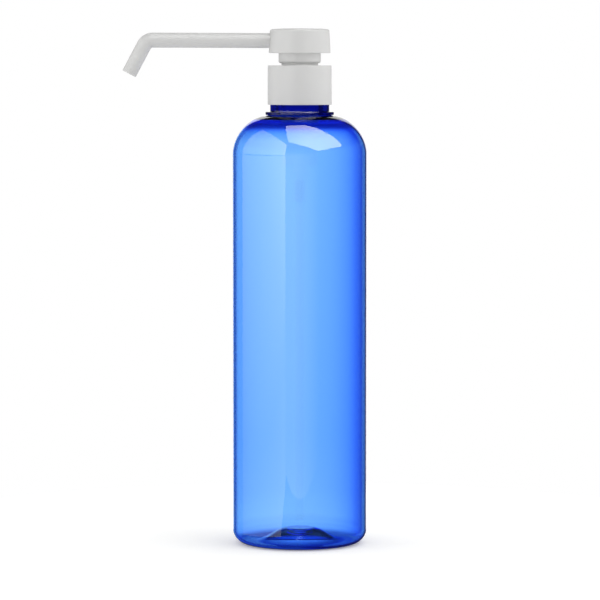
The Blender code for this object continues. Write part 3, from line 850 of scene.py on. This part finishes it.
def stage_plane(name, corners, finish, seen_by):
    """A flat backdrop or panel through four corners, shown only to the named kinds of ray."""
    mesh = bpy.data.meshes.new(name)
    mesh.from_pydata(corners, [], [tuple(range(len(corners)))])
    mesh.materials.append(finish)
    obj = bpy.data.objects.new(name, mesh)
    bpy.context.scene.collection.objects.link(obj)
    for kind in ("camera", "diffuse", "glossy", "transmission", "shadow", "volume_scatter"):
        setattr(obj, "visible_" + kind, kind in seen_by)
    return obj


def glow(name, low, high, bottom=0.0, top=1.0, along="Y", start=-1.8, end=0.6, first=1.0, last=1.0):
    """A panel that glows by height from low to high, times a share that changes along one axis."""
    made, tree, shader = material(name)
    tree.nodes.remove(shader)
    place = node(tree, "ShaderNodeTexCoord").outputs["Object"]
    split = node(tree, "ShaderNodeSeparateXYZ")
    tree.links.new(place, split.inputs[0])
    strength = node(tree, "ShaderNodeMath")
    strength.operation = "MULTIPLY"
    tree.links.new(stretched(tree, split.outputs["Z"], bottom, top, low, high), strength.inputs[0])
    tree.links.new(stretched(tree, split.outputs[along], start, end, first, last), strength.inputs[1])
    light = node(tree, "ShaderNodeEmission")
    tree.links.new(strength.outputs[0], light.inputs["Strength"])
    tree.links.new(light.outputs[0], tree.nodes["Material Output"].inputs["Surface"])
    return made


def floor_finish():
    """White matt floor, lifted a little for the camera so it just reaches white where nothing shades it."""
    made, tree, shader = material("white_floor")
    tree.nodes.remove(shader)
    path = node(tree, "ShaderNodeLightPath")
    matt = node(tree, "ShaderNodeBsdfDiffuse", Color=(0.9, 0.9, 0.87, 1))
    lift = node(tree, "ShaderNodeEmission")
    both = node(tree, "ShaderNodeAddShader")
    seen = stretched(tree, path.outputs["Is Camera Ray"], 0.0, 1.0, 0.0, 0.26)
    tree.links.new(seen, lift.inputs["Strength"])
    tree.links.new(matt.outputs[0], both.inputs[0])
    tree.links.new(lift.outputs[0], both.inputs[1])
    tree.links.new(both.outputs[0], tree.nodes["Material Output"].inputs["Surface"])
    return made


def upright(azimuth, distance, left, right, low, high):
    """Corners of an upright panel that faces the bottle, turned by an azimuth from the camera's side."""
    a = np.radians(azimuth)
    toward = np.array([np.sin(a), -np.cos(a), 0])
    side = np.array([np.cos(a), np.sin(a), 0])
    middle = toward * distance
    ends = [(left, low), (right, low), (right, high), (left, high)]
    return [tuple(middle + side * s + np.array([0, 0, z])) for s, z in ends]


turn = 2 * np.pi * np.arange(96) / 96
floor_radius = 0.22
floor_z = FOOT_Z * MM - 2e-5
floor = np.stack([floor_radius * np.cos(turn), floor_radius * np.sin(turn), np.full(96, floor_z)], 1)
stage_plane("floor", floor.tolist(), floor_finish(), ("camera", "diffuse", "shadow"))

# Soft boxes that show only as reflections. Their gap in height keeps the straight neck dark.
side_light = glow("left_soft_boxes", 0.9, 2.7, -0.1, 0.25, first=1.6, last=0.4)
fill = glow("front_fill", 1.0, 0.0, 0.2, 0.7, along="X", start=-0.3, end=2.0, first=1.0, last=0.0)
over = glow("top_soft_box", 6.0, 6.0, along="X", start=-0.4, end=0.4, first=0.75, last=1.05)
back = glow("back_sweep", 1.1, 1.1)
top_z = 1.5
top_outline = [(-0.32, 0.14), (0.12, 0.15), (0.83, -0.18), (3.4, -0.42), (3.0, -4.7), (-0.61, -1.49)]
panels = [
    ("left_soft_box", upright(-85, 1.0, -0.577, 1.8, 0.189, 1.5), side_light),
    ("low_left_soft_box", upright(-85, 1.0, -0.577, 1.8, -0.283, 0.164), side_light),
    ("front_fill", upright(0, 3.0, -1.33, 2.2, 0.168, 0.7), fill),
    ("low_front_fill", upright(0, 3.0, -1.33, 2.2, -0.46, 0.144), fill),
    ("top_soft_box", [(x, y, top_z) for x, y in top_outline], over),
    ("back_sweep", upright(180, 2.0, -0.6, 0.6, -0.3, 1.2), back),
]
for name, corners, finish in panels:
    stage_plane(name, corners, finish, ("glossy",))


def backdrop(tree, turned_by, rise):
    """What shows through the clear wall: a bright sweep behind, dark flanks, plain light elsewhere."""
    plain = (0.75, 0.823, 0.823)
    bright = (1, 1, 1)
    elsewhere = (0.5, 0.56, 0.6)
    flank = (0.03, 0.07, 0.3)
    far_flank = (0.01, 0.03, 0.17)
    side = ramp(
        tree,
        turned_by,
        [
            (0.0, elsewhere), (0.385, elsewhere), (0.41, flank), (0.425, flank), (0.445, plain),
            (0.45, bright), (0.48, bright), (0.488, plain), (0.5018, plain),
            (0.5055, (0.46, 0.6, 0.823)), (0.5087, (0.34, 0.48, 0.823)),
            (0.5107, (0.2, 0.32, 0.823)), (0.5132, (0.1, 0.19, 0.72)), (0.5175, (0.03, 0.08, 0.62)),
            (0.5242, (0.01, 0.04, 0.42)), (0.54, far_flank), (0.555, far_flank),
            (0.575, elsewhere), (1.0, elsewhere),
        ],
    )
    over_blue = (0.03, 0.07, 0.6)
    top_blue = (0.3, 0.4, 0.9)
    level = ramp(
        tree,
        rise,
        [
            (0.0, (0.15, 0.28, 0.8)), (0.33, (0.3, 0.42, 0.9)), (0.4, bright), (0.62, bright),
            (0.66, (0.3, 0.45, 1)), (0.7, over_blue), (0.76, over_blue), (0.8, top_blue), (1.0, top_blue),
        ],
    )
    return times(tree, side, level)


def room(tree, turned_by, rise):
    """What lights the matt pieces and the floor: brighter from both sides and from below eye level."""
    by_side = [(0.0, 0.41), (0.25, 0.91), (0.5, 0.6), (0.75, 1.0), (1.0, 0.41)]
    by_height = [(0.0, 1.0), (0.4, 1.0), (0.5, 0.7), (0.55, 0.62), (1.0, 0.62)]
    around = ramp(tree, turned_by, [(place, (grey,) * 3) for place, grey in by_side])
    bounce = ramp(tree, rise, [(place, (grey,) * 3) for place, grey in by_height])
    return times(tree, around, bounce)


def studio():
    """The world: its own light for matt, mirrored and passing rays, and plain white for the camera."""
    world = bpy.data.worlds.new("studio")
    bpy.context.scene.world = world
    world.use_nodes = True
    tree = world.node_tree
    tree.nodes.remove(tree.nodes["Background"])
    path = node(tree, "ShaderNodeLightPath")
    split = node(tree, "ShaderNodeSeparateXYZ")
    tree.links.new(node(tree, "ShaderNodeTexCoord").outputs["Generated"], split.inputs[0])
    angle = node(tree, "ShaderNodeMath")
    angle.operation = "ARCTAN2"
    tree.links.new(split.outputs["X"], angle.inputs[0])
    tree.links.new(split.outputs["Y"], angle.inputs[1])
    turned_by = stretched(tree, angle.outputs[0], -np.pi, np.pi)
    rise = stretched(tree, split.outputs["Z"], -1.0, 1.0)
    matt = node(tree, "ShaderNodeBackground", Strength=2.05)
    tree.links.new(room(tree, turned_by, rise), matt.inputs["Color"])
    mirrored = node(tree, "ShaderNodeBackground", Color=(1, 1, 1, 1), Strength=0.03)
    through = node(tree, "ShaderNodeBackground", Strength=1.45)
    tree.links.new(backdrop(tree, turned_by, rise), through.inputs["Color"])
    seen = node(tree, "ShaderNodeBackground", Color=(1, 1, 1, 1), Strength=1.0)
    last = matt
    choices = [("Is Glossy Ray", mirrored), ("Is Transmission Ray", through), ("Is Camera Ray", seen)]
    for kind, choice in choices:
        mix = node(tree, "ShaderNodeMixShader")
        tree.links.new(path.outputs[kind], mix.inputs[0])
        tree.links.new(last.outputs[0], mix.inputs[1])
        tree.links.new(choice.outputs[0], mix.inputs[2])
        last = mix
    tree.links.new(last.outputs[0], tree.nodes["World Output"].inputs["Surface"])


studio()

lamp = bpy.data.lights.new("upper_right_soft_box", "AREA")
lamp.shape = "RECTANGLE"
lamp.size = 1.4
lamp.size_y = 1.4
lamp.energy = 3.8
key = bpy.data.objects.new("upper_right_soft_box", lamp)
bpy.context.scene.collection.objects.link(key)
key.location = (1.1, -0.9, 1.4)
key.rotation_euler = (np.radians(48), 0, np.radians(50))
key.visible_glossy = False
key.visible_transmission = False
key.visible_camera = False

# Camera: level with the head, tipped down a little, with a long lens
lens = bpy.data.cameras.new("camera")
lens.sensor_width = 36.0
lens.lens = 198.84
camera = bpy.data.objects.new("camera", lens)
bpy.context.scene.collection.objects.link(camera)
camera.location = (0.00014, -1.5325, 0.2167)
camera.rotation_euler = (np.radians(90 - 4.049), 0, 0)
lens.clip_start, lens.clip_end = 0.05, 50
bpy.context.scene.camera = camera
bpy.context.scene.view_settings.view_transform = "Standard"
